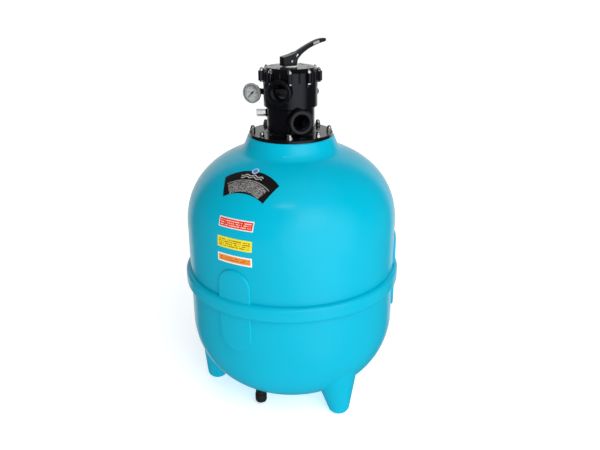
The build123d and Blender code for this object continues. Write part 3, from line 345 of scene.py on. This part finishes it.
def label_material():
    """Arched black label: thin pale lines, rows of fine print and a plain wave mark."""
    tree = Tree("name_label_print")
    u = tree.dot(LABEL_ACROSS, LABEL_ORIGIN)
    v = tree.math("SUBTRACT", tree.dot(LABEL_UP, LABEL_ORIGIN), ARC_CENTRE_V)
    radius = tree.math("SQRT", tree.math("ADD", tree.product(u, u), tree.math("POWER", v, 2.0)))
    turn = tree.math("ARCTAN2", u, v)
    arc = tree.product(turn, ARC_MIDDLE_R)
    # Rows of dashes that read as fine print from a distance.
    row = tree.product(radius, TEXT_ROWS_PER_METRE)
    column = tree.product(arc, TEXT_DASHES_PER_METRE)
    text = tree.product(tree.between(tree.math("FRACT", row), *TEXT_ROW_PART),
                        tree.dashes(column, row, TEXT_GAPS),
                        tree.between(radius, *TEXT_RADII), tree.within(turn, TEXT_HALF_TURN))
    # A thin rule above the print, and a clear space under each end of it.
    rule = tree.product(tree.between(radius, *RULE_RADII), tree.within(turn, RULE_HALF_TURN))
    bracket = tree.product(tree.between(radius, *BRACKET_RADII),
                           tree.math("GREATER_THAN", tree.absolute(turn), BRACKET_TURNS[0]),
                           tree.within(turn, BRACKET_TURNS[1]))
    text = tree.product(text, tree.math("SUBTRACT", 1.0, bracket))
    # Two plain waves in the upper band.
    wave = tree.product(tree.math("SINE", tree.product(arc, WAVES_PER_METRE)), WAVE_HEIGHT)
    wave_radius = tree.math("SUBTRACT", radius, wave)
    waves = tree.math("ADD", *[tree.between(wave_radius, *radii) for radii in WAVE_RADII])
    waves = tree.product(waves, tree.within(turn, WAVE_HALF_TURN))
    pale = tree.math("ADD", tree.math("ADD", text, rule), waves)
    pale = tree.math("MINIMUM", pale, 1.0)
    base = tree.mix(tree.noise(60, 3), linear(12, 11, 13), linear(20, 18, 20))
    tree.set(Base_Color=tree.mix(pale, base, linear(205, 202, 200)))
    return printed_paper(tree, (0.24, 0.34), 500)


def sticker_material(name, node, ground, ink, border, rows, border_width):
    """Printed sticker: a border, and rows of dashes in place of words."""
    tree = Tree(name)
    low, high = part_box(node)
    half_high = (high.z - low.z) / 2
    u = tree.dot(LABEL_ACROSS)
    v = tree.dot(UP, (0, 0, (low.z + high.z) / 2))
    print_wide = STICKER_HALF_WIDE - STICKER_SIDE_GAP * border_width
    print_high = half_high - STICKER_END_GAP * border_width
    edge = tree.math("MAXIMUM",
                     tree.math("GREATER_THAN", tree.absolute(u), STICKER_HALF_WIDE - border_width),
                     tree.math("GREATER_THAN", tree.absolute(v), half_high - border_width))
    row = tree.math("DIVIDE", tree.math("ADD", v, print_high), 2 * print_high / rows)
    column = tree.product(u, STICKER_DASHES_PER_METRE)
    marks = tree.product(tree.between(tree.math("FRACT", row), *STICKER_ROW_PART),
                         tree.dashes(column, row, STICKER_GAPS),
                         tree.within(u, print_wide), tree.within(v, print_high))
    paper = tree.mix(tree.noise(45, 3), ground, darker(ground, 0.93))
    tree.set(Base_Color=tree.mix(edge, tree.mix(marks, paper, ink), border))
    return printed_paper(tree, (0.24, 0.36), 600)


def looks():
    """One finished material for every slot of the record."""
    return {
        "tank_plastic": tank_plastic(),
        "valve_plastic": moulded(
            "valve_plastic_look", linear(9, 9, 12), linear(13, 13, 19), roughness=0.12,
            grain=0.02, ior=1.42, gloss_tint=(0.82, 0.88, 1.0, 1.0)),
        "grey_plastic": moulded(
            "grey_plastic_look", linear(150, 152, 155), linear(140, 142, 145), 0.5, 0.06),
        "drain_plastic": moulded(
            "drain_plastic_look", linear(26, 26, 28), linear(34, 34, 36), 0.42, 0.06,
            grain_scale=900, depth=0.00004),
        "white_nylon": moulded(
            "white_nylon_look", linear(236, 236, 232), linear(226, 226, 222), 0.38, 0.05),
        "white_pipe": moulded(
            "white_pipe_look", linear(232, 232, 228), linear(224, 224, 220), 0.3, 0.04),
        "black_rubber": rubber("black_rubber_look"),
        "stainless_steel": metal("stainless_steel_look", linear(214, 214, 212), 0.16),
        "brass_insert": metal("brass_look", linear(205, 170, 95), 0.24),
        "silver_inlay": metal(
            "silver_inlay_look", linear(205, 206, 208), 0.3, scratch_scale=1200,
            stretch=(1, 1, 8)),
        "clear_plastic": clear("clear_plastic_look", linear(246, 249, 248)),
        "gauge_black": moulded(
            "gauge_black_look", linear(18, 18, 19), linear(26, 26, 27), 0.3, 0.04, coat=0.2),
        "gauge_chrome": metal(
            "gauge_chrome_look", linear(222, 223, 225), 0.14, scratch_scale=600,
            stretch=(1, 1, 1), grain=0.04, metallic=0.6),
        "dial_white": moulded(
            "dial_white_look", linear(244, 245, 247), linear(238, 239, 242), 0.4, 0.05),
        "needle_black": moulded(
            "needle_black_look", linear(14, 14, 15), linear(22, 22, 23), 0.45, 0.05),
        "label_black": label_material(),
        "label_red": sticker_material(
            "red_print", "sticker_red", ground=linear(238, 38, 30), ink=linear(255, 214, 190),
            border=linear(250, 236, 236), rows=3, border_width=0.0025),
        "label_yellow": sticker_material(
            "yellow_print", "sticker_yellow", ground=linear(250, 228, 20),
            ink=linear(150, 100, 10), border=linear(252, 240, 60), rows=4, border_width=0.002),
        "label_orange": sticker_material(
            "orange_print", "sticker_orange", ground=linear(250, 150, 40),
            ink=linear(205, 80, 10), border=grey(250), rows=2, border_width=0.0035),
    }


def dress_cad(materials):
    """Give every CAD node its slot's material."""
    for subpart in frame["record"]["subparts"]:
        node = NODES[subpart["node"]]
        node.data.materials.clear()
        node.data.materials.append(materials[subpart["material_slot"]])
    for name in ("gauge_lens", "sight_glass"):
        NODES[name].visible_shadow = False


# ---------------------------------------------------------------- camera, floor and light


def add_object(name, data):
    """A new object in the scene, to be placed by the caller."""
    thing = bpy.data.objects.new(name, data)
    bpy.context.scene.collection.objects.link(thing)
    return thing


def camera():
    data = bpy.data.cameras.new("camera")
    data.sensor_width = SENSOR
    data.lens = LENS
    data.shift_x, data.shift_y = CAMERA_SHIFT
    data.clip_end = CLIP_END
    view = add_object("camera", data)
    view.location = CAMERA_PLACE
    view.rotation_euler = (math.pi / 2 - CAMERA_DOWN, 0, CAMERA_TURN)
    bpy.context.scene.camera = view


def floor():
    """Wide white floor that glows a little, so that it meets the backdrop without a line."""
    mesh = bpy.data.meshes.new("floor")
    shape = bmesh.new()
    bmesh.ops.create_circle(shape, cap_ends=True, radius=FLOOR_RADIUS, segments=FLOOR_SIDES)
    shape.to_mesh(mesh)
    shape.free()
    tree = Tree("floor_look")
    tree.set(Base_Color=tree.mix(tree.noise(1.5, 3), grey(243), grey(240)))
    tree.set(Roughness=0.75, Specular_IOR_Level=0.2)
    tree.set(Emission_Color=(1, 1, 1, 1), Emission_Strength=FLOOR_GLOW)
    # Reflections see the room through the floor; everything else sees a white floor.
    through = tree.nodes.new("ShaderNodeBsdfTransparent")
    paths = tree.nodes.new("ShaderNodeLightPath")
    mix = tree.nodes.new("ShaderNodeMixShader")
    tree.links.new(paths.outputs["Is Glossy Ray"], mix.inputs[0])
    tree.links.new(tree.surface.outputs[0], mix.inputs[1])
    tree.links.new(through.outputs[0], mix.inputs[2])
    tree.links.new(mix.outputs[0], tree.output.inputs["Surface"])
    mesh.materials.append(tree.material)
    piece = add_object("floor", mesh)


def panel(name, bearing, rise, distance, width, height, radiance, mirrored=True):
    """Soft panel that faces the tank's middle, at a bearing and at an angle above its level.
    One that isn't mirrored lights matt surfaces only."""
    rise = math.radians(rise)
    middle = Vector((0, 0, PANEL_AIM_Z))
    place = middle + outward(bearing) * (distance * math.cos(rise))
    place += Vector((0, 0, distance * math.sin(rise)))
    data = bpy.data.lights.new(name, "AREA")
    data.shape = "RECTANGLE"
    data.size = width
    data.size_y = height
    data.energy = radiance * math.pi * width * height
    light = add_object(name, data)
    light.location = place
    light.rotation_euler = (middle - place).to_track_quat("-Z", "Y").to_euler()
    light.visible_glossy = mirrored


def sun(name, direction, strength, spread):
    """Broad sun that lights matt surfaces only."""
    data = bpy.data.lights.new(name, "SUN")
    data.energy = strength
    data.angle = math.radians(spread)
    light = add_object(name, data)
    light.rotation_euler = Vector(direction).to_track_quat("-Z", "Y").to_euler()
    light.visible_glossy = False


def studio():
    """White backdrop behind, a dim room in front, and soft light from the front right."""
    world = bpy.data.worlds.new("studio")
    bpy.context.scene.world = world
    world.use_nodes = True
    nodes, links = world.node_tree.nodes, world.node_tree.links
    nodes.clear()
    output = nodes.new("ShaderNodeOutputWorld")
    seen = nodes.new("ShaderNodeBackground")
    seen.inputs["Color"].default_value = (1, 1, 1, 1)
    seen.inputs["Strength"].default_value = 1.0
    room = nodes.new("ShaderNodeBackground")
    coords = nodes.new("ShaderNodeTexCoord").outputs["Generated"]

    def lobe(direction, start, end, low, high):
        """Light from about a direction: low where its cosine is under start, high over end."""
        along = nodes.new("ShaderNodeVectorMath")
        along.operation = "DOT_PRODUCT"
        links.new(coords, along.inputs[0])
        along.inputs[1].default_value = direction.normalized()
        level = nodes.new("ShaderNodeMapRange")
        level.interpolation_type = "SMOOTHSTEP"
        links.new(along.outputs["Value"], level.inputs["Value"])
        for name, value in (("From Min", start), ("From Max", end),
                            ("To Min", low), ("To Max", high)):
            level.inputs[name].default_value = value
        return level.outputs["Result"]

    backdrop = lobe(Vector((0, 1, 0)), start=0.62, end=0.78, low=0.10, high=1.0)
    sheen = lobe(outward(30) + Vector((0, 0, 0.12)), start=0.62, end=0.97, low=0.0, high=1.5)
    total = nodes.new("ShaderNodeMath")
    total.operation = "ADD"
    links.new(backdrop, total.inputs[0])
    links.new(sheen, total.inputs[1])
    links.new(total.outputs[0], room.inputs["Strength"])
    paths = nodes.new("ShaderNodeLightPath")
    mix = nodes.new("ShaderNodeMixShader")
    links.new(paths.outputs["Is Camera Ray"], mix.inputs[0])
    links.new(room.outputs[0], mix.inputs[1])
    links.new(seen.outputs[0], mix.inputs[2])
    links.new(mix.outputs[0], output.inputs["Surface"])
    sun("overhead", (-0.25, 0.35, -1.0), strength=0.9, spread=60)
    panel("key", bearing=22, rise=30, distance=3.2, width=1.8, height=1.8, radiance=4.0,
          mirrored=False)
    panel("fill", bearing=-30, rise=15, distance=3.0, width=1.0, height=1.2, radiance=0.25,
          mirrored=False)
    panel("glint", bearing=-8, rise=50, distance=3.0, width=0.9, height=0.16, radiance=6.0)


# ---------------------------------------------------------------- fine pieces


def new_piece(name, verts, faces, material, body="root", smooth=True):
    mesh = bpy.data.meshes.new(name)
    mesh.from_pydata([tuple(v) for v in verts], [], faces)
    mesh.validate()
    shape = bmesh.new()
    shape.from_mesh(mesh)
    bmesh.ops.remove_doubles(shape, verts=shape.verts, dist=1e-7)
    bmesh.ops.recalc_face_normals(shape, faces=shape.faces)
    shape.to_mesh(mesh)
    shape.free()
    for face in mesh.polygons:
        face.use_smooth = smooth
    mesh.materials.append(material)
    piece = add_object(name, mesh)
    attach(piece, body)
    return piece


def tube_faces(rows, around):
    """Quads between rows of vertices, each row closed on itself."""
    faces = []
    for i in range(rows):
        for k in range(around):
            a = i * around + k
            b = i * around + (k + 1) % around
            faces.append((a, b, b + around, a + around))
    return faces


def thread(name, mouth, axis, major, material):
    """Helical ridge inside a bore, from its mouth inwards along -axis, fading out at its ends."""
    axis = Vector(axis).normalized()
    side = axis.cross(UP).normalized()
    up = side.cross(axis)
    wall = major + THREAD_SINK
    total = int((THREAD_LENGTH / THREAD_PITCH - 1) * THREAD_STEPS)
    fade = THREAD_STEPS * 0.5
    verts = []
    for i in range(total + 1):
        angle = 2 * math.pi * i / THREAD_STEPS
        run = THREAD_PITCH * i / THREAD_STEPS
        ends = min(1.0, i / fade, (total - i) / fade)
        spoke = side * math.cos(angle) + up * math.sin(angle)
        for along, height in THREAD_PROFILE:
            radius = major - THREAD_HEIGHT if height else major
            reach = wall - (wall - radius) * ends
            verts.append(mouth - axis * (run + along * THREAD_PITCH) + spoke * reach)
    wide = len(THREAD_PROFILE)
    faces = tube_faces(total, wide)
    faces.append(tuple(range(wide)))
    faces.append(tuple(total * wide + k for k in reversed(range(wide))))
    return new_piece(name, verts, faces, material)


def port_threads(materials):
    """The thread of each of the three ports."""
    for name in ("pump_port", "return_port", "waste_port"):
        mount = MOUNTS[name]
        axis = Vector(mount["axis"])
        mouth = Vector(mount["pos_m"]) - axis * THREAD_INSET
        thread(name + "_thread", mouth, axis, mount["dims"]["r_mm"] / MM,
               materials["valve_plastic"])


def dial_axes():
    """Centre of the dial's front, and its outward normal and its right as seen from the front."""
    low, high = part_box("gauge_dial")
    normal = -Vector(JOINTS["gauge_needle_turn"]["axis"])
    centre = (low + high) / 2 + normal * (DIAL_HALF_THICK + PRINT_LIFT)
    return centre, normal, UP.cross(normal)


DIAL_CENTRE, DIAL_NORMAL, DIAL_RIGHT = dial_axes()


def dial_spoke(degrees):
    """Unit vectors outwards and clockwise on the dial, at an angle clockwise from the top."""
    turn = math.radians(degrees)
    return (DIAL_RIGHT * math.sin(turn) + UP * math.cos(turn),
            DIAL_RIGHT * math.cos(turn) - UP * math.sin(turn))


def dial_arc(name, start, end, material):
    """Flat coloured arc on the dial."""
    verts, faces = [], []
    for i in range(ARC_STEPS + 1):
        spoke, _across = dial_spoke(start + (end - start) * i / ARC_STEPS)
        verts += [DIAL_CENTRE + spoke * radius for radius in ARC_RADII]
    for i in range(ARC_STEPS):
        a = 2 * i
        faces.append((a, a + 1, a + 3, a + 2))
    return new_piece(name, verts, faces, material, smooth=False)


def dial_ticks(material):
    """Marks round three quarters of the dial, longer and wider at each number."""
    verts, faces = [], []
    for i in range(SCALE_MARKS + 1):
        spoke, across = dial_spoke(SCALE_START + SCALE_SWEEP * i / SCALE_MARKS)
        main = i % MARKS_PER_NUMBER == 0
        inner = MAIN_MARK_R if main else FINE_MARK_R
        half = MAIN_MARK_HALF if main else FINE_MARK_HALF
        base = len(verts)
        for radius, side in ((inner, -1), (MARK_END_R, -1), (MARK_END_R, 1), (inner, 1)):
            verts.append(DIAL_CENTRE + spoke * radius + across * side * half)
        faces.append((base, base + 1, base + 2, base + 3))
    new_piece("dial_ticks", verts, faces, material, smooth=False)


def dial_numbers(material):
    """Numbers round the dial, ten apart, inside the longer marks."""
    facing = Matrix((DIAL_RIGHT, UP, DIAL_NORMAL)).transposed().to_4x4()
    last = SCALE_MARKS // MARKS_PER_NUMBER
    for i in range(last + 1):
        spoke, _across = dial_spoke(SCALE_START + SCALE_SWEEP * i / last)
        data = bpy.data.curves.new(f"dial_number_{i}", "FONT")
        data.body = str(i * 10)
        data.size = NUMBER_SIZE
        data.align_x = "CENTER"
        data.align_y = "CENTER"
        data.materials.append(material)
        piece = add_object(f"dial_number_{i}", data)
        piece.matrix_world = Matrix.Translation(DIAL_CENTRE + spoke * NUMBER_R) @ facing
        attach(piece, "root")


def gauge_print(materials):
    dial_ticks(materials["needle_black"])
    dial_numbers(materials["needle_black"])
    green = moulded("dial_green_look", linear(60, 150, 90), linear(52, 140, 82), 0.4, 0.05)
    orange = moulded("dial_orange_look", linear(245, 170, 80), linear(240, 160, 70), 0.4, 0.05)
    dial_arc("dial_green_arc", -100, -40, green)
    dial_arc("dial_orange_arc", -20, 25, orange)


def emblem():
    """Small round printed mark at the top of the arched label: a blue disc on a pale one."""
    mesh = NODES["tank_upper"].data
    tank = BVHTree.FromPolygons([v.co for v in mesh.vertices],
                                [p.vertices for p in mesh.polygons])
    blue = moulded("emblem_blue_look", linear(60, 120, 200), linear(80, 140, 215), 0.3, 0.05)
    pale = moulded("emblem_pale_look", linear(200, 225, 245), linear(190, 216, 240), 0.3, 0.05)
    inward = LABEL_UP.cross(LABEL_ACROSS).normalized()
    start = LABEL_ORIGIN + LABEL_UP * EMBLEM_V - inward * EMBLEM_RAY
    for name, outer, lift, look in (("emblem_ring", 0.0098, 0.0007, pale),
                                    ("emblem_disc", 0.0068, 0.0009, blue)):
        verts = []
        for i in range(EMBLEM_RINGS + 1):
            radius = outer * i / EMBLEM_RINGS
            for k in range(EMBLEM_SIDES):
                turn = 2 * math.pi * k / EMBLEM_SIDES
                origin = start + LABEL_ACROSS * radius * math.cos(turn)
                origin += LABEL_UP * radius * math.sin(turn)
                hit, normal, _index, _distance = tank.ray_cast(origin, inward)
                verts.append(hit + normal * lift)
        new_piece(name, verts, tube_faces(EMBLEM_RINGS, EMBLEM_SIDES), look)


# ---------------------------------------------------------------- build

bpy.context.scene.view_settings.view_transform = "Standard"
camera()
floor()
studio()
LOOKS = looks()
dress_cad(LOOKS)
port_threads(LOOKS)
gauge_print(LOOKS)
emblem()
